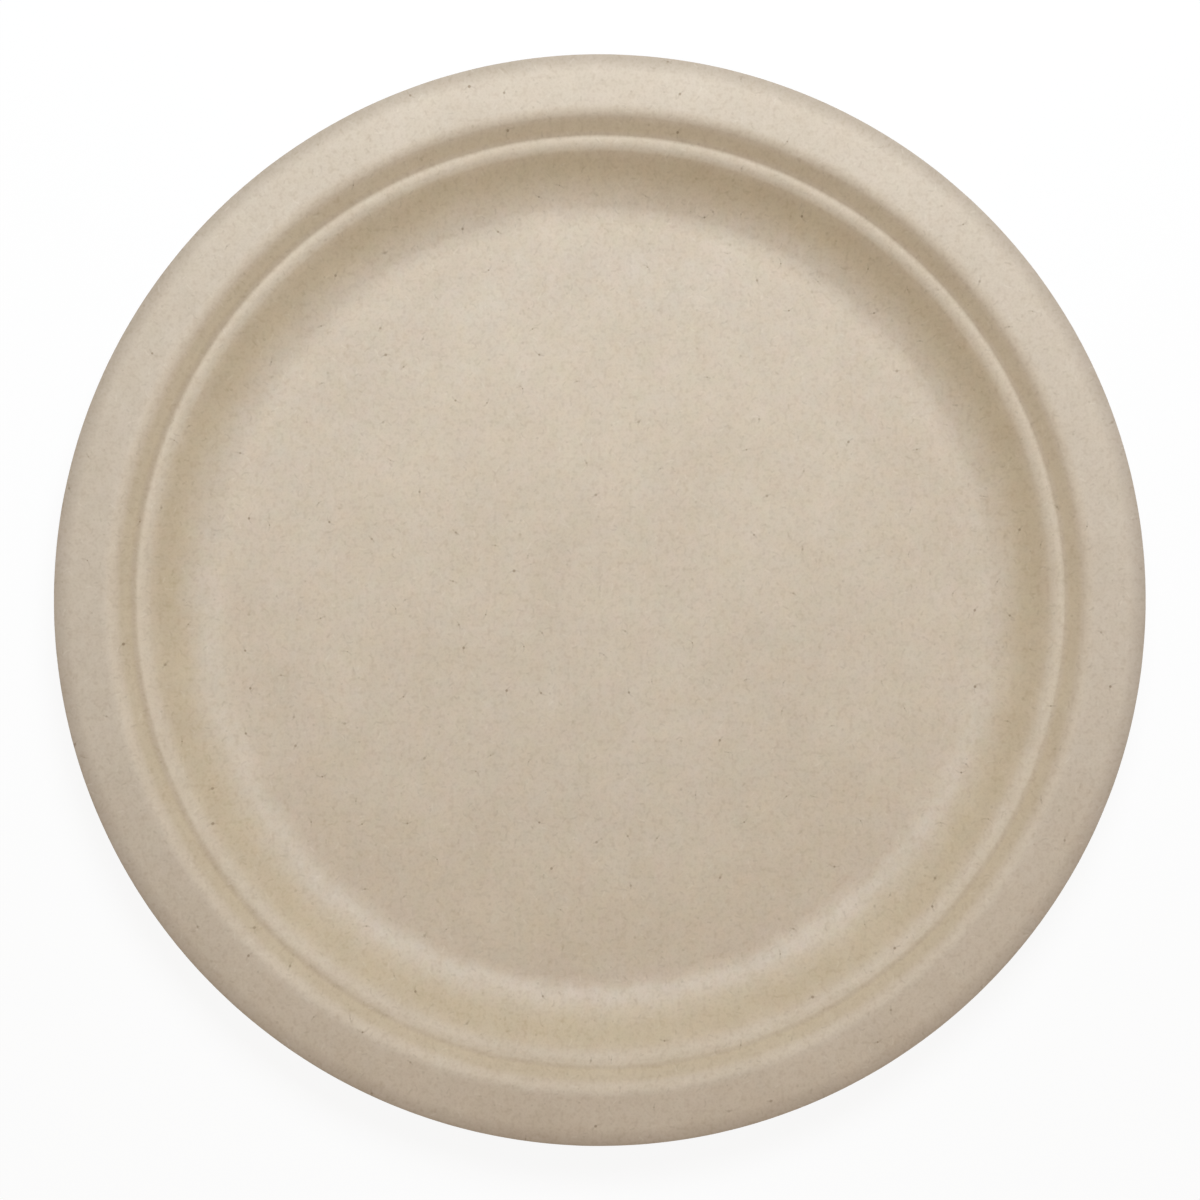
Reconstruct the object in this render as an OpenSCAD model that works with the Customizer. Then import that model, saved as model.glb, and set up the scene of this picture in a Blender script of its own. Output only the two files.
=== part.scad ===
// Round dinner plate of moulded fibre, pressed in one piece with one even wall.
// Stands with the centre of its underside at the origin, opening upwards.

/* [Overall] */
// Diameter across the trimmed edge
plate_d = 228; // [200:1:260]
// Height of the top of the rim above the table
plate_h = 19.7; // [17:0.1:24]
// Thickness of the pressed fibre wall
wall_t = 0.9; // [0.6:0.05:1.5]

/* [Rim] */
// Width of the rim, from the head of the upper wall to the trimmed edge
rim_w = 11.9; // [9:0.1:18]
// Radius of the curve from the upper wall over to the rim
rim_curve_r = 4; // [2.5:0.1:6]
// Angle that the crowned rim has fallen by where the pressed edge starts
rim_fall = 6; // [2:0.5:12]

/* [Pressed edge] */
// Width of the thinner band pressed along the trimmed edge
band_w = 3.2; // [2:0.1:4.5]
// Thickness left at the trimmed edge
edge_t = 0.6; // [0.4:0.05:0.9]
// Radius on both corners of the trimmed edge
edge_r = 0.15; // [0.05:0.01:0.19]

/* [Upper wall] */
// Height of the rim above the foot of the upper wall
ledge_depth = 5.2; // [4:0.1:8]
// Slope of the upper wall, in degrees
upper_slope = 47; // [35:0.5:55]

/* [Ledge] */
// Slope of the ledge, which rises outwards, in degrees
ledge_slope = 10; // [0:1:15]
// Length of the straight left between the ledge's two curves
ledge_flat = 0.05; // [0:0.05:3]
// Radius of the curve from the lower wall over to the ledge
ledge_curve_r = 4.7; // [2:0.1:6]
// Radius of the tight corner at the foot of the upper wall
crease_r = 1.3; // [0.3:0.1:1.6]

/* [Lower wall] */
// Slope of the lower wall where it meets the ledge, in degrees
lower_slope = 49.5; // [42:0.5:55]
// Slope of the lower wall where it leaves the heel, in degrees
foot_slope = 38; // [32:0.5:41]
// Height above the base at which the two slopes would meet
bend_rise = 5; // [4:0.1:6.5]
// Radius of the heel, from the flat base up to the lower wall
heel_r = 7.5; // [5:0.5:11]

/* [Hidden] */
// Largest angle of one facet on a rounded corner of the section, in degrees
arc_step = 3;
$fn = 240;

// Corners of the upper face, worked out from the trimmed edge inwards
edge_x = plate_d / 2;
band_x = edge_x - band_w;
rim_x = edge_x - rim_w;
crease_x = rim_x - ledge_depth / tan(upper_slope);
crease_z = plate_h - ledge_depth;
crease_reach = crease_r * tan((upper_slope - ledge_slope) / 2);
ledge_reach = ledge_curve_r * tan((lower_slope - ledge_slope) / 2);
ledge_w = crease_reach + ledge_flat + ledge_reach;
ledge_x = crease_x - ledge_w * cos(ledge_slope);
ledge_z = crease_z - ledge_w * sin(ledge_slope);
bend_z = wall_t + bend_rise;
bend_x = ledge_x - (ledge_z - bend_z) / tan(lower_slope);
heel_x = bend_x - bend_rise / tan(foot_slope);

// The crown is one arc from the curve at the rim's head to the pressed edge
crown_start = rim_x + rim_curve_r * tan(upper_slope / 2);
crown_reach = (band_x - crown_start) / (1 + cos(rim_fall));
crown_r = crown_reach / tan(rim_fall / 2);
crown_x = crown_start + crown_reach;
band_z = plate_h - crown_reach * sin(rim_fall);
edge_z = band_z - band_w * tan(rim_fall) - (wall_t - edge_t) / 2;

// The lower wall curves gently from the heel up, over what the heel and the ledge leave free
foot_free = bend_rise / sin(foot_slope) - heel_r * tan(foot_slope / 2);
head_free = (ledge_z - bend_z) / sin(lower_slope) - ledge_reach;
bend_reach = min(foot_free, head_free);
bend_r = bend_reach / tan((lower_slope - foot_slope) / 2);

// Each corner is its place and the radius that rounds it
upper_corners = [
    [[0, wall_t], 0],
    [[heel_x, wall_t], heel_r],
    [[bend_x, bend_z], bend_r],
    [[ledge_x, ledge_z], ledge_curve_r],
    [[crease_x, crease_z], crease_r],
    [[rim_x, plate_h], rim_curve_r],
    [[crown_x, plate_h], crown_r],
    [[band_x, band_z], 0],
    [[edge_x, edge_z], edge_r]
];
inner_corners = len(upper_corners) - 2;

// Direction from one point to another, and a direction turned a quarter to the right
function way(a, b) = (b - a) / norm(b - a);
function right_of(v) = [v[1], -v[0]];

// Angle by which the line a-b-c turns left at b
function turn_at(a, b, c) =
    atan2(cross(way(a, b), way(b, c)), way(a, b) * way(b, c));

// Corner of the lower face under corner i of the upper face, one wall away from it
function under(i) =
    let (here = upper_corners[i][0])
    let (radius = upper_corners[i][1])
    let (before = right_of(way(upper_corners[i - 1][0], here)))
    let (after = right_of(way(here, upper_corners[i + 1][0])))
    let (bend = turn_at(upper_corners[i - 1][0], here, upper_corners[i + 1][0]))
    let (place = here + wall_t * (before + after) / (1 + before * after))
    [place, radius == 0 ? 0 : radius + sign(bend) * wall_t];

lower_corners = concat(
    [[[edge_x, edge_z - edge_t], edge_r]],
    [for (i = [inner_corners:-1:1]) under(i)],
    [[[0, 0], 0]]
);

// Points of the arc that rounds corner b of the line a-b-c by radius r
function corner_arc(a, b, c, r) =
    let (bend = turn_at(a, b, c))
    let (start = b - way(a, b) * r * tan(abs(bend) / 2))
    let (centre = start - sign(bend) * r * right_of(way(a, b)))
    let (spoke = start - centre)
    let (steps = max(1, ceil(abs(bend) / arc_step)))
    [
        for (i = [0:steps])
            let (angle = bend * i / steps)
            centre + cos(angle) * spoke - sin(angle) * right_of(spoke)
    ];

// Outline through all the corners, each rounded by its radius
function rounded(corners) =
    [
        for (i = [0:len(corners) - 1])
            let (radius = corners[i][1])
            for (point = radius == 0
                ? [corners[i][0]]
                : corner_arc(corners[i - 1][0], corners[i][0], corners[i + 1][0], radius))
                point
    ];

// Half of the plate's section, from its axis to its edge
module section() {
    polygon(rounded(concat(upper_corners, lower_corners)));
}

// The whole plate, its section turned round the axis
module plate() {
    color([0.82, 0.765, 0.69])
        rotate_extrude()
            section();
}

plate();
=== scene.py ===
"""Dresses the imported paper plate: its pressed wall and finish, the table, light and camera."""

import logging
import math
from dataclasses import dataclass
from enum import Enum

import bmesh
import bpy
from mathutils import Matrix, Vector


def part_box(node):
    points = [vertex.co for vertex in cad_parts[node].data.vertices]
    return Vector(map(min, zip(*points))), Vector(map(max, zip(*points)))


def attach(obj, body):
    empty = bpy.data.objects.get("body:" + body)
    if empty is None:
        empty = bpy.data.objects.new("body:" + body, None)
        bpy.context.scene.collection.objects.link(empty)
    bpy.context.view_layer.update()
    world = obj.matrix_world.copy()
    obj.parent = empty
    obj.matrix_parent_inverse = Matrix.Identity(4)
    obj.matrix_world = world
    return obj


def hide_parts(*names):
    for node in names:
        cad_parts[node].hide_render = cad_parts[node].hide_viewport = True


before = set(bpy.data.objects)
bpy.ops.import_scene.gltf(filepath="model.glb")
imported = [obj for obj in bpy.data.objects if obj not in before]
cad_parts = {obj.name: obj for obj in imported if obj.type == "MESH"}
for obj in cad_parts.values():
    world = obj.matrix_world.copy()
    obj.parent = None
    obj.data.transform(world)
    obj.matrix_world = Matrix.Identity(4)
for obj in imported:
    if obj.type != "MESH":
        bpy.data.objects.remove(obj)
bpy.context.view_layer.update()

LOG = logging.getLogger("paper_plate")
MM = 0.001

Colour = tuple[float, float, float]
Span = tuple[float, float]
Socket = bpy.types.NodeSocket
Value = float | Socket
Triple = Colour | Socket

WHITE: Colour = (1.0, 1.0, 1.0)


@dataclass(frozen=True)
class Corner:
    """One corner of the section's upper line, in metres.

    Args:
        x: Distance from the axis.
        z: Height above the table.
        radius: Radius of the arc that rounds the corner, or 0 for none.
        facets: Steps that the arc is turned in.
        rings: Steps of the straight that leads to the corner.
    """

    x: float
    z: float
    radius: float = 0.0
    facets: int = 1
    rings: int = 1

    @property
    def place(self) -> Vector:
        """The corner's place in the section's plane."""
        return Vector((self.x, 0.0, self.z))


@dataclass
class PressedPlate:
    """The plate's one wall, pressed from pulp, with the part's own sizes in metres and radians.

    Args:
        edge_x: Radius of the trimmed edge.
        high: Height of the top of the rim.
        wall: Thickness of the wall.
        rim: Width of the rim.
        rim_curve: Radius of the curve from the upper wall over to the rim.
        rim_fall: Angle that the rim has fallen by at the pressed band.
        band: Width of the pressed band.
        edge_thickness: Thickness left at the trimmed edge.
        edge_round: Radius on both corners of the trimmed edge.
        ledge_depth: Height of the rim above the foot of the upper wall.
        upper_slope: Slope of the upper wall.
        ledge_flat: Length of the straight between the ledge's two curves.
        ledge_slope: Slope of the ledge.
        ledge_curve: Radius of the curve from the lower wall over to the ledge.
        crease: Radius of the corner at the foot of the upper wall.
        lower_slope: Slope of the lower wall where it meets the ledge.
        foot_slope: Slope of the lower wall where it leaves the heel.
        bend_rise: Height above the base at which the two slopes would meet.
        heel: Radius of the heel.
        sectors: Steps that the section is turned in.
        edge_steps: Steps that the trimmed edge's corners are rounded in.
        edge_angle: Angle between two faces from which their edge is rounded.
        smooth_angle: Angle between two faces up to which they are shaded as one.
        flock: Width of the hollows between flocks of fibre.
        flock_detail: How many times finer hollows are added.
        relief: Depth of the hollows.
        same_point: Distance under which two points are one.
    """

    edge_x: float
    high: float
    wall: float = 0.9 * MM
    rim: float = 11.9 * MM
    rim_curve: float = 4.0 * MM
    rim_fall: float = math.radians(6.0)
    band: float = 3.2 * MM
    edge_thickness: float = 0.6 * MM
    edge_round: float = 0.15 * MM
    ledge_depth: float = 5.2 * MM
    upper_slope: float = math.radians(47.0)
    ledge_flat: float = 0.05 * MM
    ledge_slope: float = math.radians(10.0)
    ledge_curve: float = 4.7 * MM
    crease: float = 1.3 * MM
    lower_slope: float = math.radians(49.5)
    foot_slope: float = math.radians(38.0)
    bend_rise: float = 5.0 * MM
    heel: float = 7.5 * MM
    sectors: int = 512
    edge_steps: int = 2
    edge_angle: float = math.radians(60.0)
    smooth_angle: float = math.radians(40.0)
    flock: float = 7.0 * MM
    flock_detail: int = 2
    relief: float = 0.05 * MM
    same_point: float = 0.001 * MM

    @property
    def band_x(self) -> float:
        """Distance from the axis at which the pressed band starts."""
        return self.edge_x - self.band

    def corners(self) -> list[Corner]:
        """Works out the upper line's corners from the trimmed edge inwards.

        Returns:
            The corners from the axis out to the edge.
        """
        rim_x = self.edge_x - self.rim
        crease_z = self.high - self.ledge_depth
        crease_x = rim_x - self.ledge_depth / math.tan(self.upper_slope)
        crease_reach = self.crease * math.tan((self.upper_slope - self.ledge_slope) / 2)
        ledge_reach = self.ledge_curve * math.tan((self.lower_slope - self.ledge_slope) / 2)
        ledge = crease_reach + self.ledge_flat + ledge_reach
        ledge_x = crease_x - ledge * math.cos(self.ledge_slope)
        ledge_z = crease_z - ledge * math.sin(self.ledge_slope)
        bend_z = self.wall + self.bend_rise
        bend_x = ledge_x - (ledge_z - bend_z) / math.tan(self.lower_slope)
        heel_x = bend_x - self.bend_rise / math.tan(self.foot_slope)
        heel_reach = self.heel * math.tan(self.foot_slope / 2)
        bend_reach = self.bend_rise / math.sin(self.foot_slope) - heel_reach
        bend_radius = bend_reach / math.tan((self.lower_slope - self.foot_slope) / 2)
        crown_start = rim_x + self.rim_curve * math.tan(self.upper_slope / 2)
        crown_reach = (self.band_x - crown_start) / (1 + math.cos(self.rim_fall))
        crown_radius = crown_reach / math.tan(self.rim_fall / 2)
        band_z = self.high - crown_reach * math.sin(self.rim_fall)
        thinned = (self.wall - self.edge_thickness) / 2
        edge_z = band_z - self.band * math.tan(self.rim_fall) - thinned
        return [
            Corner(0.0, self.wall),
            Corner(heel_x, self.wall, self.heel, facets=12, rings=28),
            Corner(bend_x, bend_z, bend_radius, facets=6),
            Corner(ledge_x, ledge_z, self.ledge_curve, facets=9, rings=3),
            Corner(crease_x, crease_z, self.crease, facets=5),
            Corner(rim_x, self.high, self.rim_curve, facets=9, rings=4),
            Corner(crown_start + crown_reach, self.high, crown_radius, facets=6),
            Corner(self.band_x, band_z),
            Corner(self.edge_x, edge_z, rings=4),
        ]

    def build(self) -> bpy.types.Object:
        """Models the whole plate.

        Returns:
            The finished piece, at the origin, with its modifiers applied.
        """
        plate = self._start_point()
        self._draw_section()
        self._turn_section()
        self._weigh_band(plate)
        self._thicken(plate)
        self._round_edge(plate)
        self._press_relief(plate)
        deselect_all()
        plate.select_set(True)
        bpy.ops.object.shade_smooth_by_angle(angle=self.smooth_angle)
        return plate

    def _start_point(self) -> bpy.types.Object:
        """Makes the section's first point, on the axis, out of a small square.

        Returns:
            The piece, left in edit mode with that point selected.
        """
        deselect_all()
        bpy.ops.mesh.primitive_plane_add(size=self.wall)
        plate = bpy.context.object
        plate.name = "pressed_plate"
        plate.data.name = "pressed_plate"
        bpy.ops.object.mode_set(mode="EDIT")
        bpy.ops.mesh.select_all(action="SELECT")
        bpy.ops.mesh.merge(type="CENTER")
        bpy.ops.transform.translate(value=(0.0, 0.0, self.wall))
        return plate

    def _draw_section(self) -> None:
        """Extrudes the point along the upper line's straights and spins it round its corners."""
        line = self.corners()
        here = line[0].place
        for index, corner in enumerate(line[1:], start=1):
            way = (corner.place - line[index - 1].place).normalized()
            if corner.radius == 0.0:
                self._extrude_straight(here, corner.place, corner.rings)
                here = corner.place
                continue
            onward = (line[index + 1].place - corner.place).normalized()
            turn = way.angle(onward)
            reach = corner.radius * math.tan(turn / 2)
            left = 1.0 if way.x * onward.z - way.z * onward.x > 0 else -1.0
            start = corner.place - way * reach
            self._extrude_straight(here, start, corner.rings)
            bpy.ops.mesh.spin(
                steps=corner.facets,
                angle=turn,
                center=start + left * corner.radius * Vector((-way.z, 0.0, way.x)),
                axis=(0.0, left, 0.0),
                use_auto_merge=False,
            )
            here = corner.place + onward * reach

    def _extrude_straight(self, here: Vector, there: Vector, rings: int) -> None:
        """Extrudes the selected point in equal steps, or leaves it where it is there already.

        Args:
            here: Where the point is.
            there: Where the last step ends.
            rings: How many steps there are.
        """
        step = (there - here) / rings
        if step.length > self.same_point:
            for _ in range(rings):
                bpy.ops.mesh.extrude_region_move(TRANSFORM_OT_translate={"value": step})

    def _turn_section(self) -> None:
        """Spins the section once round the axis and closes the seam and the pole."""
        bpy.ops.mesh.select_all(action="SELECT")
        bpy.ops.mesh.spin(
            steps=self.sectors,
            angle=math.tau,
            center=(0.0, 0.0, 0.0),
            axis=(0.0, 0.0, 1.0),
            use_auto_merge=True,
        )
        bpy.ops.mesh.select_all(action="SELECT")
        bpy.ops.mesh.remove_doubles(threshold=self.same_point)
        bpy.ops.mesh.normals_make_consistent(inside=False)
        mesh = bmesh.from_edit_mesh(bpy.context.object.data)
        mesh.faces.ensure_lookup_table()
        middle = min(mesh.faces, key=lambda face: face.calc_center_median().xy.length)
        if middle.normal.z < 0.0:
            bpy.ops.mesh.flip_normals()
        bpy.ops.object.mode_set(mode="OBJECT")

    def _weigh_band(self, plate: bpy.types.Object) -> None:
        """Marks how thick each point's wall is, as a share of the full wall.

        Args:
            plate: The plate's upper face.
        """
        group = plate.vertex_groups.new(name="wall_share")
        thinned = 1.0 - self.edge_thickness / self.wall
        for vertex in plate.data.vertices:
            into_band = max(0.0, vertex.co.xy.length - self.band_x) / self.band
            group.add([vertex.index], 1.0 - thinned * into_band, "REPLACE")

    def _thicken(self, plate: bpy.types.Object) -> None:
        """Gives the upper face its wall, downwards.

        Args:
            plate: The plate's upper face, with its wall shares.
        """
        solidify = plate.modifiers.new("wall", "SOLIDIFY")
        solidify.thickness = self.wall
        solidify.offset = -1.0
        solidify.use_even_offset = True
        solidify.use_quality_normals = True
        solidify.vertex_group = "wall_share"
        bpy.ops.object.modifier_apply(modifier=solidify.name)

    def _round_edge(self, plate: bpy.types.Object) -> None:
        """Takes the sharpness off both corners of the trimmed edge.

        Args:
            plate: The thickened plate.
        """
        bevel = plate.modifiers.new("trimmed_edge", "BEVEL")
        bevel.width = self.edge_round
        bevel.segments = self.edge_steps
        bevel.limit_method = "ANGLE"
        bevel.angle_limit = self.edge_angle
        bpy.ops.object.modifier_apply(modifier=bevel.name)

    def _press_relief(self, plate: bpy.types.Object) -> None:
        """Presses the faint hollows between flocks of fibre into both faces.

        Args:
            plate: The plate with its rounded edge.
        """
        flocks = bpy.data.textures.new("flocks", "CLOUDS")
        flocks.noise_scale = self.flock
        flocks.noise_depth = self.flock_detail
        displace = plate.modifiers.new("flocks", "DISPLACE")
        displace.texture = flocks
        displace.texture_coords = "LOCAL"
        displace.strength = self.relief
        displace.mid_level = 1.0
        bpy.ops.object.modifier_apply(modifier=displace.name)


@dataclass(frozen=True)
class Lumps:
    """How coarse a noise is.

    Args:
        size: Width of its largest lumps, in millimetres.
        detail: How many times finer lumps are added.
        rough: How much of the last lumps' strength each finer kind has.
    """

    size: float
    detail: float
    rough: float


class Bench:
    """The node tree of one material or world, with short ways to add to it."""

    # Moves each noise's own grid away from the axis, where it shows as a cross
    OFF_AXIS = (211.3, 157.9, 83.7)
    # How much finer each finer kind of lumps is, uneven so that their grids don't line up
    FINER = 2.17

    def __init__(self, owner: bpy.types.Material | bpy.types.World) -> None:
        """Empties the owner's tree.

        Args:
            owner: The material or world to build.
        """
        owner.use_nodes = True
        self.tree = owner.node_tree
        self.tree.nodes.clear()

    def feed(self, socket: Socket, value: object) -> None:
        """Links a socket to another one, or sets it to a constant.

        Args:
            socket: The input to feed.
            value: What it gets.
        """
        if isinstance(value, Socket):
            self.tree.links.new(value, socket)
        else:
            socket.default_value = value

    def add(self, kind: str, feeds: dict[str | int, object], **settings: object) -> bpy.types.Node:
        """Adds a node.

        Args:
            kind: The node's type.
            feeds: What each of its inputs gets.
            settings: Its own options.

        Returns:
            The new node.
        """
        node = self.tree.nodes.new(kind)
        for name, value in settings.items():
            setattr(node, name, value)
        for name, value in feeds.items():
            self.feed(node.inputs[name], value)
        return node

    def maths(self, operation: str, *values: Value) -> Socket:
        """Adds a Math node and returns its result."""
        return self.add("ShaderNodeMath", dict(enumerate(values)), operation=operation).outputs[0]

    def vector(self, operation: str, *values: Triple) -> Socket:
        """Adds a Vector Math node and returns its vector."""
        feeds = dict(enumerate(values))
        return self.add("ShaderNodeVectorMath", feeds, operation=operation).outputs["Vector"]

    def measure(self, operation: str, *values: Triple) -> Socket:
        """Adds a Vector Math node and returns its single value."""
        feeds = dict(enumerate(values))
        return self.add("ShaderNodeVectorMath", feeds, operation=operation).outputs["Value"]

    def scale(self, vector: Triple, factor: Value) -> Socket:
        """Scales a vector or a colour and returns it."""
        feeds = {"Vector": vector, "Scale": factor}
        return self.add("ShaderNodeVectorMath", feeds, operation="SCALE").outputs["Vector"]

    def split(self, vector: Triple) -> tuple[Socket, ...]:
        """Returns a vector's three parts."""
        return tuple(self.add("ShaderNodeSeparateXYZ", {"Vector": vector}).outputs)

    def rise(self, value: Value, low: Value, high: Value) -> Socket:
        """Adds a smooth step that goes from 0 at low to 1 at high, and returns it."""
        feeds = {"Value": value, "From Min": low, "From Max": high}
        return self.add("ShaderNodeMapRange", feeds, interpolation_type="SMOOTHSTEP").outputs[0]

    def band(self, value: Value, inner: Span, outer: Span) -> Socket:
        """Adds a smooth band that fades in over one span and out over another, and returns it."""
        low, high = outer
        return self.maths("MULTIPLY", self.rise(value, *inner), self.rise(value, high, low))

    def mix(self, share: Value, first: object, second: object) -> Socket:
        """Mixes two colours.

        Args:
            share: How much of the second there is.
            first: The colour without it.
            second: The colour that is mixed in.

        Returns:
            The mixed colour.
        """
        node = self.add("ShaderNodeMix", {}, data_type="RGBA")
        # The node's sockets for other kinds of value have the same names, but aren't enabled
        inputs = [socket for socket in node.inputs if socket.enabled]
        for socket, value in zip(inputs, (share, first, second)):
            self.feed(socket, value)
        return next(socket for socket in node.outputs if socket.enabled)

    def seen(self) -> Socket:
        """Tells what is looked at from what only lights.

        Returns:
            1 for what is seen straight, in a gloss or through glass, and 0 otherwise.
        """
        ray = self.add("ShaderNodeLightPath", {})
        seen = self.maths("MAXIMUM", ray.outputs["Is Camera Ray"], ray.outputs["Is Glossy Ray"])
        return self.maths("MAXIMUM", seen, ray.outputs["Is Transmission Ray"])

    def noise(self, place: Triple, lumps: Lumps, flat: bool = True) -> bpy.types.Node:
        """Adds a noise.

        Args:
            place: Where the surface is, in millimetres.
            lumps: How coarse it is.
            flat: Whether it is the same at every height.

        Returns:
            The noise's node.
        """
        feeds = {
            "Vector": self.vector("ADD", place, self.OFF_AXIS),
            "Scale": 1.0 / lumps.size,
            "Detail": lumps.detail,
            "Roughness": lumps.rough,
            "Lacunarity": self.FINER,
        }
        return self.add("ShaderNodeTexNoise", feeds, noise_dimensions="2D" if flat else "3D")

    def grey_noise(self, place: Triple, lumps: Lumps, flat: bool = True) -> Socket:
        """Adds a noise and returns one value round 0."""
        return self.maths("SUBTRACT", self.noise(place, lumps, flat).outputs[0], 0.5)

    def tinted_noise(self, place: Triple, lumps: Lumps) -> Socket:
        """Adds a noise and returns three independent values round 0, as one vector."""
        return self.vector("SUBTRACT", self.noise(place, lumps).outputs["Color"], (0.5, 0.5, 0.5))

    def cells(self, place: Triple, size: float) -> tuple[Socket, tuple[Socket, ...]]:
        """Scatters one point in each cell of the given size.

        Args:
            place: Where the surface is.
            size: Width of a cell, in the place's own unit.

        Returns:
            The way from the nearest point, and three random values from 0 to 1 for that point.
        """
        feeds = {"Vector": place, "Scale": 1.0 / size}
        node = self.add("ShaderNodeTexVoronoi", feeds, voronoi_dimensions="2D")
        way = self.vector("SUBTRACT", place, node.outputs["Position"])
        return way, self.split(node.outputs["Color"])


@dataclass
class Table:
    """The pale table that the plate stands on, and the white behind it.

    Args:
        side: Width of the table, in metres.
        paint: How light it is where it lights the plate.
        white_share: Share of what is seen of it that is plain white, without shadow.
    """

    side: float = 6.0
    paint: float = 0.85
    white_share: float = 0.92

    def build(self) -> bpy.types.Object:
        """Lays the table and paints it.

        Returns:
            The table's top.
        """
        deselect_all()
        bpy.ops.mesh.primitive_plane_add(size=self.side)
        table = bpy.context.object
        table.name = "table"
        table.data.materials.append(self.material())
        return table

    def material(self) -> bpy.types.Material:
        """Makes a matt white that is shown as white, less a share that takes the plate's shadow.

        Returns:
            The table's material.
        """
        material = bpy.data.materials.new("table_white")
        bench = Bench(material)
        paint = opaque((self.paint, self.paint, self.paint))
        matt = bench.add("ShaderNodeBsdfDiffuse", {"Color": paint})
        white = bench.add("ShaderNodeEmission", {"Color": opaque(WHITE), "Strength": 1.0})
        share = bench.maths("MULTIPLY", bench.seen(), self.white_share)
        feeds = {0: share, 1: matt.outputs[0], 2: white.outputs[0]}
        shown = bench.add("ShaderNodeMixShader", feeds)
        bench.add("ShaderNodeOutputMaterial", {"Surface": shown.outputs[0]})
        return material


@dataclass
class SoftBox:
    """A soft square lamp over the plate.

    Args:
        name: The lamp's name.
        zenith: Angle from straight up, in radians.
        azimuth: Direction round the plate, in radians, from +X towards +Y.
        distance: Distance from the plate, in metres.
        side: Width of the panel, in metres.
        watts: Power.
        aim: Place on the table that the lamp looks at, in metres.
        spread: Angle of its beam, in radians.
        colour: Colour of the light.
    """

    name: str
    zenith: float
    azimuth: float
    distance: float
    side: float
    watts: float
    aim: tuple[float, float]
    spread: float
    colour: Colour

    def build(self) -> bpy.types.Object:
        """Hangs the lamp.

        Returns:
            The lamp's object.
        """
        out = self.distance * math.sin(self.zenith)
        up = self.distance * math.cos(self.zenith)
        spot = Vector((out * math.cos(self.azimuth), out * math.sin(self.azimuth), up))
        away = spot - Vector((*self.aim, 0.0))
        deselect_all()
        bpy.ops.object.light_add(type="AREA", location=spot)
        lamp = bpy.context.object
        lamp.name = self.name
        lamp.rotation_euler = away.to_track_quat("Z", "Y").to_euler()
        lamp.data.spread = self.spread
        lamp.data.size = self.side
        lamp.data.energy = self.watts
        lamp.data.color = self.colour
        return lamp


@dataclass
class Room:
    """The even light of the room round the plate, and the white that the camera sees there.

    Args:
        strength: How much light the room gives.
        colour: Colour of that light.
    """

    strength: float
    colour: Colour

    def build(self) -> bpy.types.World:
        """Fills the world with the room's light.

        Returns:
            The world.
        """
        world = bpy.data.worlds.new("room")
        bench = Bench(world)
        light = {"Color": opaque(self.colour), "Strength": self.strength}
        white = {"Color": opaque(WHITE), "Strength": 1.0}
        lit, plain = (bench.add("ShaderNodeBackground", feeds) for feeds in (light, white))
        feeds = {0: bench.seen(), 1: lit.outputs[0], 2: plain.outputs[0]}
        shown = bench.add("ShaderNodeMixShader", feeds)
        bench.add("ShaderNodeOutputWorld", {"Surface": shown.outputs[0]})
        bpy.context.scene.world = world
        return world


@dataclass
class OverheadCamera:
    """The camera straight above the plate, framed as the photograph is.

    Args:
        edge_x: Radius of the trimmed edge, in metres.
        edge_z: Height of the trimmed edge, in metres.
        above: Height of the camera over the trimmed edge, in metres.
        sensor: Width of the camera's sensor, in millimetres.
        nearest: Distance from which it sees, in metres.
        farthest: Distance up to which it sees, in metres.
        picture_px: Width of the photograph, in pixels.
        edge_px: Radius of the trimmed edge in it, in pixels.
        middle_px: Place of the plate's axis in it, in pixels from the top left.
    """

    edge_x: float
    edge_z: float
    above: float = 1.2
    sensor: float = 36.0
    nearest: float = 0.01
    farthest: float = 20.0
    picture_px: float = 1200.0
    edge_px: float = 546.2
    middle_px: tuple[float, float] = (599.8, 600.1)

    def build(self) -> bpy.types.Object:
        """Hangs the camera so that the plate's edge lies where the photograph has it.

        Returns:
            The camera's object.
        """
        px = self.edge_x / self.edge_px
        right = (self.picture_px / 2 - self.middle_px[0]) * px
        up = (self.middle_px[1] - self.picture_px / 2) * px
        spot = (right, up, self.edge_z + self.above)
        deselect_all()
        bpy.ops.object.camera_add(location=spot, rotation=(0.0, 0.0, 0.0))
        camera = bpy.context.object
        camera.data.sensor_width = self.sensor
        camera.data.lens = self.sensor * self.above / (self.picture_px * px)
        camera.data.clip_start = self.nearest
        camera.data.clip_end = self.farthest
        bpy.context.scene.camera = camera
        return camera


class Shade(Enum):
    """The colour that a fibre or speck takes the pulp towards."""

    DARK = (0.19, 0.13, 0.075)
    PALE = (0.80, 0.74, 0.64)


class Side(Enum):
    """A side of the plate, as the direction from its axis."""

    # The rings on each side are mostly painted light and shade, where the lamp falls differently
    NEAR = (0.1, -0.99, 0.0)
    FAR = (-0.2, 0.98, 0.0)
    LEFT = (-0.98, 0.0, 0.0)


@dataclass(frozen=True)
class Spot:
    """Where the surface is, as sockets. Lengths are in millimetres.

    Args:
        place: The place itself.
        radius: Distance from the axis.
        out: The level way out from the axis.
        streak: A noise round 0 that is drawn out along the radius.
    """

    place: Socket
    radius: Socket
    out: Socket
    streak: Socket


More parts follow.
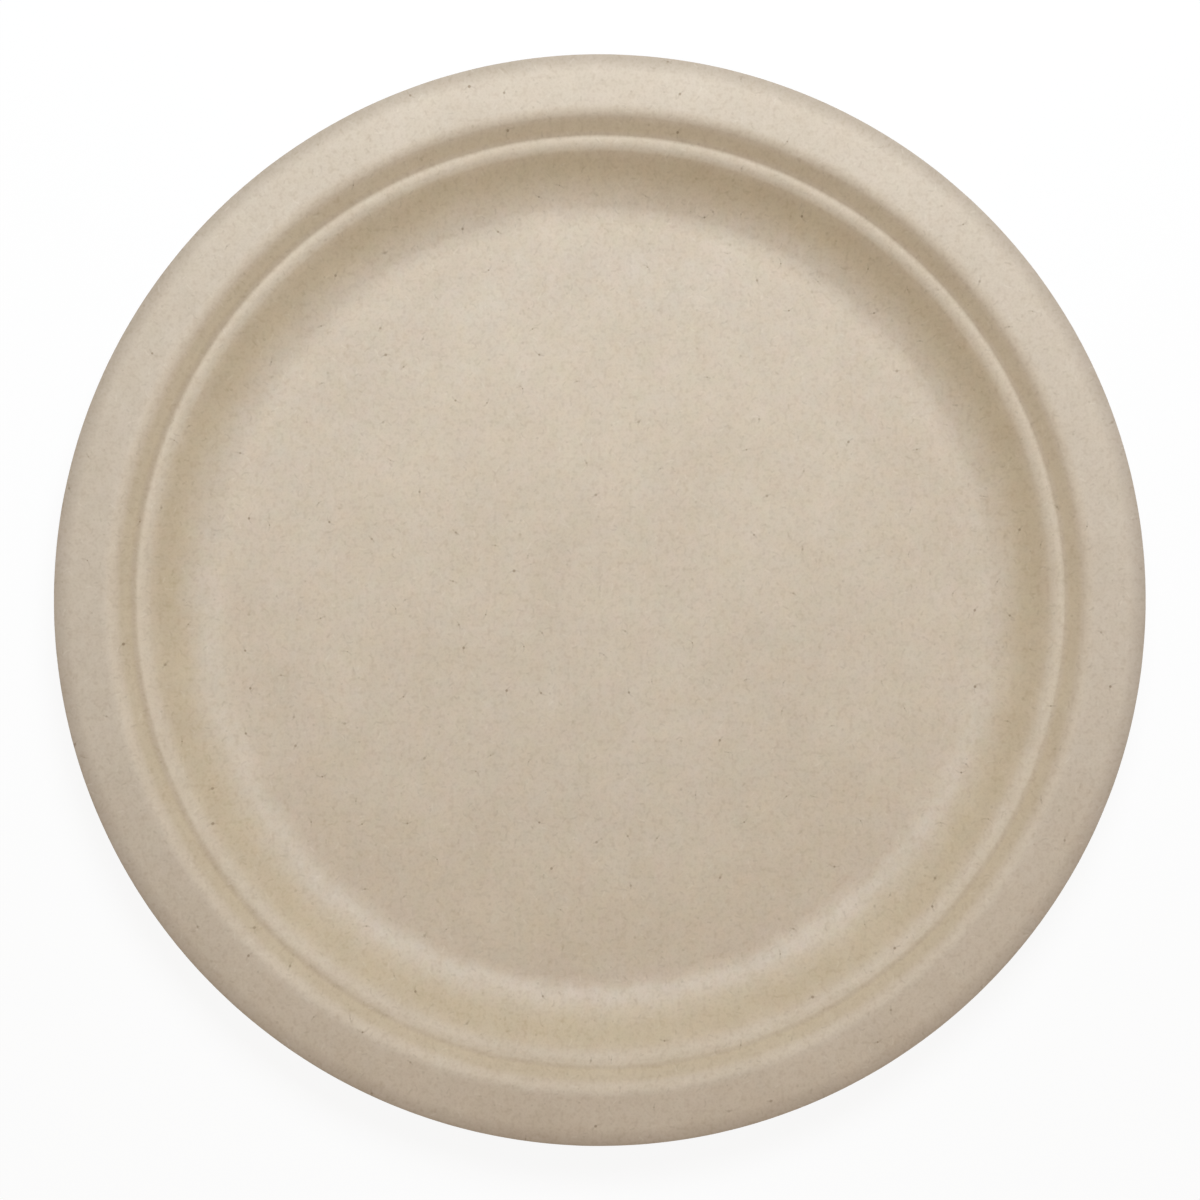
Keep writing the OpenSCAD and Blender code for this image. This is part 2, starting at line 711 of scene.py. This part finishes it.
@dataclass(frozen=True)
class Streaks:
    """How the press has drawn the pulp out along the radius. Lengths are in millimetres.

    Args:
        lumps: How coarse the streaks are round the plate.
        turn: Radius at which they are as coarse as that.
        stretch: How much they change along the radius, against round the plate.
        inner: Radii between which they fade in.
        outer: Radii between which they fade out.
        strength: How much they change the pulp's lightness.
    """

    lumps: Lumps = Lumps(size=3.5, detail=1.5, rough=0.6)
    turn: float = 95.0
    stretch: float = 0.12
    inner: Span = (80.0, 86.0)
    outer: Span = (101.0, 103.0)
    strength: float = 0.06

    def spot(self, bench: Bench) -> Spot:
        """Finds where the surface is, and the streak that runs through it.

        Args:
            bench: The material's bench.

        Returns:
            The spot.
        """
        place = bench.scale(bench.add("ShaderNodeTexCoord", {}).outputs["Object"], 1.0 / MM)
        level = bench.vector("MULTIPLY", place, (1.0, 1.0, 0.0))
        radius = bench.measure("LENGTH", level)
        out = bench.vector("NORMALIZE", level)
        along = bench.scale((0.0, 0.0, self.stretch), radius)
        spoke = bench.vector("ADD", bench.scale(out, self.turn), along)
        return Spot(place, radius, out, bench.grey_noise(spoke, self.lumps, flat=False))

    def shown(self, bench: Bench, spot: Spot) -> Socket:
        """Returns the streak where the press has bent the pulp, and 0 elsewhere."""
        bent = bench.band(spot.radius, self.inner, self.outer)
        return bench.maths("MULTIPLY", spot.streak, bent)


@dataclass(frozen=True)
class Wander:
    """How far the rings of tone stray from true circles. Lengths are in millimetres.

    Args:
        lumps: How coarse the patches are that they stray with.
        patches: How far the patches move them.
        streaks: How far the streaks move them.
        inner: Radii between which the straying starts.
        outer: Radii between which it ends.
        thin: Radii between which the wide rings end and the thin ones start.
        hold: Share of the straying that the thin rings don't take part in.
    """

    lumps: Lumps = Lumps(size=16.0, detail=2.0, rough=0.8)
    patches: float = 4.0
    streaks: float = 1.6
    inner: Span = (72.0, 80.0)
    outer: Span = (103.0, 105.0)
    thin: Span = (92.0, 94.5)
    hold: float = 0.85

    def radius(self, bench: Bench, spot: Spot) -> Socket:
        """Moves a spot's radius as far as the rings stray there.

        Args:
            bench: The material's bench.
            spot: Where the surface is.

        Returns:
            The radius at which the rings are looked up.
        """
        loose = bench.maths("MULTIPLY_ADD", bench.rise(spot.radius, *self.thin), -self.hold, 1.0)
        loose = bench.maths("MULTIPLY", bench.band(spot.radius, self.inner, self.outer), loose)
        astray = bench.maths("MULTIPLY", bench.grey_noise(spot.place, self.lumps), self.patches)
        astray = bench.maths("MULTIPLY_ADD", spot.streak, self.streaks, astray)
        return bench.maths("MULTIPLY_ADD", astray, loose, spot.radius)


@dataclass(frozen=True)
class Screen:
    """The print of the forming mould's wire screen on the underside. Lengths are in millimetres.

    Args:
        pitch: Distance from one hollow to the next but one.
        height: How far the print stands out, as a share of the finish's relief.
        down: How far down a face looks where it has the print.
    """

    pitch: float = 0.9
    height: float = 0.25
    down: float = -0.1

    def draw(self, bench: Bench, place: Socket) -> Socket:
        """Draws the print.

        Args:
            bench: The material's bench.
            place: Where the surface is.

        Returns:
            How far it stands out, and 0 on the upper side.
        """
        facing = bench.split(bench.add("ShaderNodeNewGeometry", {}).outputs["Normal"])[2]
        under = bench.maths("LESS_THAN", facing, self.down)
        across, along, _ = bench.split(bench.scale(place, math.tau / self.pitch))
        weave = bench.maths("MULTIPLY", bench.maths("SINE", across), bench.maths("SINE", along))
        return bench.maths("MULTIPLY", bench.maths("MULTIPLY", weave, self.height), under)


@dataclass(frozen=True)
class Ring:
    """A ring of the plate whose tint multiplies the pulp's colour: partly the pulp's own tone and
    partly painted light and shade.

    Args:
        inner: Radii between which it fades in, in millimetres.
        outer: Radii between which it fades out, in millimetres.
        tint: Colour that it multiplies the pulp's colour by.
        side: Side on which it shows most, or None where it shows all round. The rings on one side
            are mostly painted light and shade.
    """

    inner: Span
    outer: Span
    tint: Colour
    side: Side | None = None

    def tone(self, radius: float) -> Vector:
        """Returns what it multiplies the pulp's colour by at a radius."""
        share = smooth_step(radius, *self.inner) * (1.0 - smooth_step(radius, *self.outer))
        return Vector(1.0 + share * (tint - 1.0) for tint in self.tint)


@dataclass(frozen=True)
class ToneAndShadeRamp:
    """The rings of tone and of painted light and shade on one side or all round, as a ramp of
    colour.

    Args:
        rings: Its rings.
        start: Radius at which the ramp starts, in millimetres.
        end: Radius at which it ends, in millimetres.
        brightest: Most that it can multiply the pulp's colour by.
        least_step: Least distance between two of the rings' own radii, in millimetres.
        most_stops: Stops that the ramp has.
    """

    rings: tuple[Ring, ...]
    start: float = 48.0
    end: float = 120.0
    brightest: float = 1.25
    least_step: float = 0.15
    most_stops: int = 32

    def at(self, radius: float) -> Vector:
        """Works out the tone at a radius.

        Args:
            radius: Distance from the axis.

        Returns:
            What all the rings together multiply the pulp's colour by.
        """
        tone = Vector(WHITE)
        for ring in self.rings:
            tone = Vector(a * b for a, b in zip(tone, ring.tone(radius)))
        return tone

    def stops(self) -> list[float]:
        """Chooses the ramp's stops: the rings' own radii, and then where the tone changes most.

        Returns:
            The stops' radii, from the axis out.
        """
        radii: list[float] = []
        for radius in sorted(edge for ring in self.rings for edge in (*ring.inner, *ring.outer)):
            if not radii or radius - radii[-1] > self.least_step:
                radii.append(radius)
        while len(radii) < self.most_stops:
            changes = [(self.at(b) - self.at(a)).length for a, b in zip(radii, radii[1:])]
            widest = changes.index(max(changes))
            radii.insert(widest + 1, (radii[widest] + radii[widest + 1]) / 2)
        return radii

    def draw(self, bench: Bench, radius: Socket) -> Socket:
        """Draws the tone with a ramp.

        Args:
            bench: The material's bench.
            radius: Distance from the axis.

        Returns:
            The colour that the pulp's is multiplied by.
        """
        feeds = {"Value": radius, "From Min": self.start, "From Max": self.end}
        along = bench.add("ShaderNodeMapRange", feeds)
        node = bench.add("ShaderNodeValToRGB", {"Fac": along.outputs[0]})
        stops = node.color_ramp.elements
        radii = self.stops()
        places = [(stop_radius - self.start) / (self.end - self.start) for stop_radius in radii]
        stops[0].position, stops[-1].position = places[0], places[-1]
        for place in places[1:-1]:
            stops.new(place)
        for stop, stop_radius in zip(stops, radii):
            stop.color = opaque(self.at(stop_radius) / self.brightest)
        return bench.scale(node.outputs["Color"], self.brightest)


@dataclass(frozen=True)
class Strands:
    """Fibres of one kind, strewn over the pulp in all directions. Lengths are in millimetres.

    Args:
        cell: Width of the cells that have at most one fibre each.
        length: Usual length of a fibre.
        share: Share of the cells that have one.
        strength: How much of its shade shows.
        shade: Colour that it takes the pulp towards.
        width: Width of a fibre.
        curl: Most that it bends, for each millimetre of its length squared.
        shift: Offset that keeps it clear of the other kinds.
        shortest: How far the shortest fibre reaches from its middle, as a share of the length.
            The longest one reaches twice as far.
        taper: Share of its reach at which a fibre's end starts to fade.
        core: Distance from its middle line up to which it is full, as a share of the width.
        fringe: Distance from its middle line at which it ends, as a share of the width.
    """

    cell: float
    length: float
    share: float
    strength: float
    shade: Shade = Shade.DARK
    width: float = 0.34
    curl: float = 0.5
    shift: float = 0.0
    shortest: float = 0.3
    taper: float = 0.6
    core: float = 0.2
    fringe: float = 0.75

    def mask(self, bench: Bench, place: Socket) -> Socket:
        """Draws the fibres.

        Args:
            bench: The material's bench.
            place: Where the surface is.

        Returns:
            How much fibre there is, from 0 to 1.
        """
        shifted = bench.vector("ADD", place, (self.shift, -self.shift, 0.0))
        way, (turn, bend, luck) = bench.cells(shifted, self.cell)
        feeds = {"Vector": way, "Angle": bench.maths("MULTIPLY", turn, math.tau)}
        turned = bench.add("ShaderNodeVectorRotate", feeds, rotation_type="Z_AXIS")
        along, across, _ = bench.split(turned.outputs[0])
        curl = bench.maths("MULTIPLY", bench.maths("SUBTRACT", bend, 0.5), 2.0 * self.curl)
        across = bench.maths("MULTIPLY_ADD", bench.maths("MULTIPLY", along, along), curl, across)
        least = self.shortest * self.length
        reach = bench.maths("MULTIPLY_ADD", bend, least, least)
        full = bench.maths("MULTIPLY", reach, self.taper)
        ends = bench.rise(bench.maths("ABSOLUTE", along), reach, full)
        edge, core = self.fringe * self.width, self.core * self.width
        sides = bench.rise(bench.maths("ABSOLUTE", across), edge, core)
        there = bench.maths("LESS_THAN", luck, self.share)
        return bench.maths("MULTIPLY", bench.maths("MULTIPLY", ends, sides), there)


@dataclass(frozen=True)
class Specks:
    """Specks of one kind, strewn over the pulp. Lengths are in millimetres.

    Args:
        cell: Width of the cells that have at most one speck each.
        radius: Radius of the largest speck.
        share: Share of the cells that have one.
        strength: How much of its shade shows.
        shade: Colour that it takes the pulp towards.
        shift: Offset that keeps it clear of the other kinds.
        smallest: Radius of the smallest speck, as a share of the largest one's.
        core: Share of a speck's radius up to which it has its full strength.
        faintest: Strength of the faintest speck, as a share of the strongest one's.
    """

    cell: float
    radius: float
    share: float
    strength: float
    shade: Shade = Shade.DARK
    shift: float = 0.0
    smallest: float = 0.3
    core: float = 0.4
    faintest: float = 0.3

    def mask(self, bench: Bench, place: Socket) -> Socket:
        """Draws the specks.

        Args:
            bench: The material's bench.
            place: Where the surface is.

        Returns:
            How much speck there is, from 0 to 1.
        """
        shifted = bench.vector("ADD", place, (self.shift, self.shift, 0.0))
        way, (size, depth, luck) = bench.cells(shifted, self.cell)
        far = bench.measure("LENGTH", bench.vector("MULTIPLY", way, (1.0, 1.0, 0.0)))
        least = self.smallest * self.radius
        edge = bench.maths("MULTIPLY_ADD", size, self.radius - least, least)
        disc = bench.rise(far, edge, bench.maths("MULTIPLY", edge, self.core))
        there = bench.maths("LESS_THAN", luck, self.share)
        strong = bench.maths("MULTIPLY_ADD", depth, 1.0 - self.faintest, self.faintest)
        return bench.maths("MULTIPLY", bench.maths("MULTIPLY", disc, strong), there)


@dataclass(frozen=True)
class MouldedFibre:
    """Matt beige pulp with clouds, grain, specks and hair-like fibres, and rings of tone and
    painted light and shade.

    Args:
        colour: Colour of the pulp, without all that follows.
        warmth: How much each part of the colour follows the pulp's lightness.
        cloud_lumps: How coarse its clouds are.
        clouds: How much they change its lightness.
        grain_lumps: How coarse its finest grain is.
        grain: How much that changes its lightness.
        pit_grain: Values of the grain between which pits open.
        pits: How much they darken it.
        tint_lumps: How coarse its patches of tint are.
        tints: How much they change each part of its colour.
        calm_radii: Radii between which the press has evened them out, in millimetres.
        calm: Share of them that it has evened out.
        streaks: The streaks that it has drawn the pulp out in.
        wander: How far its rings of tone stray.
        side_edge: Where a ring on one side starts and is full, as shares of the way to that side.
        side_patches: How much the streaks change that.
        screen: The print of the wire screen.
        relief: Height that the grain and the print stand out by, in metres.
        grain_height: How far the grain stands out, as a share of the relief.
        rough: Roughness of the pulp.
        rough_grain: How much the grain changes it.
        gloss: Strength of the gloss.
        rings: The rings of tone and of painted light and shade.
        strands: The kinds of fibre.
        specks: The kinds of speck.
    """

    colour: Colour = (0.587, 0.502, 0.398)
    warmth: Colour = (0.83, 1.0, 1.19)
    cloud_lumps: Lumps = Lumps(size=30.0, detail=4.0, rough=1.0)
    clouds: float = 0.25
    grain_lumps: Lumps = Lumps(size=1.3, detail=1.0, rough=0.9)
    grain: float = 0.36
    pit_grain: Span = (0.05, 0.25)
    pits: float = 0.11
    tint_lumps: Lumps = Lumps(size=7.0, detail=2.5, rough=0.9)
    tints: Colour = (0.09, 0.0, 0.11)
    calm_radii: Span = (84.0, 104.0)
    calm: float = 0.6
    streaks: Streaks = Streaks()
    wander: Wander = Wander()
    side_edge: Span = (0.1, 1.0)
    side_patches: float = 0.8
    screen: Screen = Screen()
    relief: float = 0.06 * MM
    grain_height: float = 0.3
    rough: float = 0.86
    rough_grain: float = 0.4
    gloss: float = 0.25
    rings: tuple[Ring, ...] = (
        # All round, tints fitted to the plate's shading by radius: partly the pulp's own tone,
        # partly painted light and shade. Slightly darker outer base
        Ring((58.0, 74.5), (77.7, 84.5), (0.969, 0.962, 0.961)),
        # Lighter, bluer band at the heel: a painted highlight
        Ring((79.8, 83.9), (84.0, 89.9), (1.084, 1.098, 1.120)),
        # Yellower lower wall: partly painted shade
        Ring((83.5, 90.6), (92.3, 94.5), (1.004, 0.989, 0.906)),
        Ring((92.4, 93.7), (97.0, 101.5), (1.038, 1.032, 1.004)),
        Ring((94.3, 95.2), (96.8, 97.8), (0.978, 0.980, 0.993)),
        # Yellower, darker upper wall: partly painted shade
        Ring((97.8, 98.5), (100.1, 101.0), (0.988, 0.976, 0.923)),
        Ring((99.9, 100.7), (102.2, 104.3), (1.034, 1.030, 1.023)),
        Ring((101.9, 103.4), (117.0, 118.0), (0.984, 0.988, 1.006)),
        # Darker band at the trimmed edge
        Ring((110.4, 113.4), (118.0, 119.0), (0.814, 0.801, 0.801)),
        # Near side, painted light and shade where the lamp falls: warmer base, sharper painted
        # highlight at the heel, painted highlight on the ledge's shoulder, darker line along the
        # crease, lighter rim
        Ring((50.0, 66.0), (74.0, 80.0), (1.000, 0.992, 0.968), Side.NEAR),
        Ring((77.5, 79.8), (81.0, 82.4), (0.978, 0.960, 0.954), Side.NEAR),
        Ring((81.6, 83.2), (84.6, 86.8), (1.028, 1.038, 1.070), Side.NEAR),
        Ring((94.2, 95.8), (95.9, 97.2), (1.075, 1.085, 1.105), Side.NEAR),
        Ring((97.2, 97.8), (98.0, 98.6), (0.900, 0.885, 0.870), Side.NEAR),
        Ring((100.2, 101.6), (102.2, 103.2), (1.040, 1.045, 1.055), Side.NEAR),
        Ring((102.5, 104.5), (118.0, 119.0), (1.022, 1.005, 0.985), Side.NEAR),
        # Left side, painted shade where less of the lamp falls: darker heel, walls and rim, and a
        # darker line along the crease
        Ring((80.4, 82.2), (85.0, 89.0), (0.962, 0.963, 0.966), Side.LEFT),
        Ring((84.0, 89.0), (92.5, 94.5), (0.965, 0.960, 0.960), Side.LEFT),
        Ring((96.7, 97.3), (97.9, 98.9), (0.882, 0.865, 0.848), Side.LEFT),
        Ring((97.0, 98.5), (100.0, 101.0), (0.970, 0.970, 0.965), Side.LEFT),
        Ring((102.5, 104.5), (118.0, 119.0), (0.957, 0.957, 0.950), Side.LEFT),
        # Far side, painted light and shade where the lamp falls: bluer base, darker ledge shoulder
        # and rim curve, lighter, bluer rim, darker edge band
        Ring((50.0, 66.0), (74.0, 80.0), (1.000, 1.012, 1.030), Side.FAR),
        Ring((94.3, 95.1), (95.4, 96.2), (0.965, 0.970, 0.975), Side.FAR),
        Ring((100.8, 101.8), (102.2, 103.0), (0.965, 0.965, 0.965), Side.FAR),
        Ring((102.5, 104.5), (118.0, 119.0), (1.012, 1.018, 1.022), Side.FAR),
        Ring((110.6, 113.0), (118.0, 119.0), (0.945, 0.940, 0.925), Side.FAR),
    )
    strands: tuple[Strands, ...] = (
        Strands(cell=9.0, length=2.6, share=0.40, strength=0.16),
        Strands(cell=4.0, length=1.5, share=0.45, strength=0.13, shift=31.0),
        Strands(
            cell=4.5,
            length=1.8,
            share=0.40,
            strength=0.13,
            shade=Shade.PALE,
            curl=0.3,
            shift=57.0,
        ),
    )
    specks: tuple[Specks, ...] = (
        Specks(cell=9.0, radius=0.44, share=0.40, strength=0.62),
        Specks(cell=3.4, radius=0.42, share=0.50, strength=0.19, shift=23.0),
    )

    def material(self) -> bpy.types.Material:
        """Mixes the finish.

        Returns:
            The plate's material.
        """
        material = bpy.data.materials.new("moulded_fibre")
        bench = Bench(material)
        spot = self.streaks.spot(bench)
        grain = bench.grey_noise(spot.place, self.grain_lumps)
        colour = bench.vector("MULTIPLY", self.colour, self._tint_and_painted_shade(bench, spot))
        colour = bench.vector("MULTIPLY", colour, self._lightness(bench, spot, grain))
        for kind in (*self.strands, *self.specks):
            share = bench.maths("MULTIPLY", kind.mask(bench, spot.place), kind.strength)
            colour = bench.mix(share, colour, opaque(kind.shade.value))
        screen = self.screen.draw(bench, spot.place)
        height = bench.maths("MULTIPLY_ADD", grain, self.grain_height, screen)
        feeds = {"Strength": 1.0, "Distance": self.relief, "Height": height}
        bump = bench.add("ShaderNodeBump", feeds)
        feeds = {
            "Base Color": colour,
            "Roughness": bench.maths("MULTIPLY_ADD", grain, self.rough_grain, self.rough),
            "Specular IOR Level": self.gloss,
            "Normal": bump.outputs[0],
        }
        matt = bench.add("ShaderNodeBsdfPrincipled", feeds)
        bench.add("ShaderNodeOutputMaterial", {"Surface": matt.outputs[0]})
        return material

    def _lightness(self, bench: Bench, spot: Spot, grain: Socket) -> Socket:
        """Mixes the pulp's lightness from its clouds, grain, pits and streaks.

        Args:
            bench: The material's bench.
            spot: Where the surface is.
            grain: The pulp's finest grain, round 0.

        Returns:
            The lightness, as a colour round 1.
        """
        parts = (
            (bench.grey_noise(spot.place, self.cloud_lumps), self.clouds),
            (grain, self.grain),
            (bench.rise(grain, *self.pit_grain), -self.pits),
            (self.streaks.shown(bench, spot), self.streaks.strength),
        )
        lightness: Value = 0.0
        for value, strength in parts:
            lightness = bench.maths("MULTIPLY_ADD", value, strength, lightness)
        return bench.vector("MULTIPLY_ADD", lightness, self.warmth, WHITE)

    def _tint_and_painted_shade(self, bench: Bench, spot: Spot) -> Socket:
        """Mixes the pulp's patches of tint and the rings of tone and of painted light and shade.

        Args:
            bench: The material's bench.
            spot: Where the surface is.

        Returns:
            The tint, as a colour round 1.
        """
        even = bench.rise(spot.radius, *self.calm_radii)
        patches = bench.maths("MULTIPLY_ADD", even, -self.calm, 1.0)
        drift = bench.scale(bench.tinted_noise(spot.place, self.tint_lumps), patches)
        tint = bench.vector("MULTIPLY_ADD", drift, self.tints, WHITE)
        radius = self.wander.radius(bench, spot)
        for side in (None, *Side):
            tone = ToneAndShadeRamp(tuple(ring for ring in self.rings if ring.side is side))
            # The rings' ramp: the pulp's tone together with painted light and shade
            tone_and_shade = tone.draw(bench, radius)
            if side is not None:
                tone_and_shade = bench.mix(self._share(bench, spot, side), opaque(WHITE), tone_and_shade)
            tint = bench.vector("MULTIPLY", tint, tone_and_shade)
        return tint

    def _share(self, bench: Bench, spot: Spot, side: Side) -> Socket:
        """Works out how much the rings of one side show.

        Args:
            bench: The material's bench.
            spot: Where the surface is.
            side: The rings' side.

        Returns:
            1 on that side, 0 on the other, and patchy between them.
        """
        towards = bench.measure("DOT_PRODUCT", spot.out, side.value)
        patchy = bench.maths("MULTIPLY_ADD", spot.streak, self.side_patches, towards)
        return bench.rise(patchy, *self.side_edge)


def smooth_step(value: float, low: float, high: float) -> float:
    """Returns a smooth step that goes from 0 at low to 1 at high."""
    share = min(max((value - low) / (high - low), 0.0), 1.0)
    return share * share * (3.0 - 2.0 * share)


def opaque(colour: Colour | Vector) -> tuple[float, float, float, float]:
    """Returns a colour with full cover."""
    return (*colour, 1.0)


def deselect_all() -> None:
    """Leaves nothing selected."""
    for thing in bpy.context.selected_objects:
        thing.select_set(False)


def main() -> None:
    """Builds the plate, its table, the light and the camera in order."""
    logging.basicConfig(level=logging.INFO, format="%(name)s: %(message)s")
    bpy.context.scene.view_settings.view_transform = "Standard"

    low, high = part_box("plate")
    plate = PressedPlate(edge_x=(high.x - low.x) / 2, high=high.z)
    piece = plate.build()
    piece.data.materials.append(MouldedFibre().material())
    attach(piece, "root")
    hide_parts("plate")
    LOG.info("%s has %d faces", piece.name, len(piece.data.polygons))

    Table().build()
    SoftBox(
        name="key",
        zenith=math.radians(26.0),
        azimuth=math.radians(80.0),
        distance=1.3,
        side=0.5,
        watts=5.4,
        aim=(-0.01, 0.42),
        spread=math.radians(80.0),
        colour=(0.814, 0.907, 1.0),
    ).build()
    Room(strength=0.21, colour=(1.0, 0.571, 0.143)).build()
    OverheadCamera(plate.edge_x, plate.corners()[-1].z).build()
    LOG.info("table, lamp, room and camera are in place")


if __name__ == "__main__":
    main()
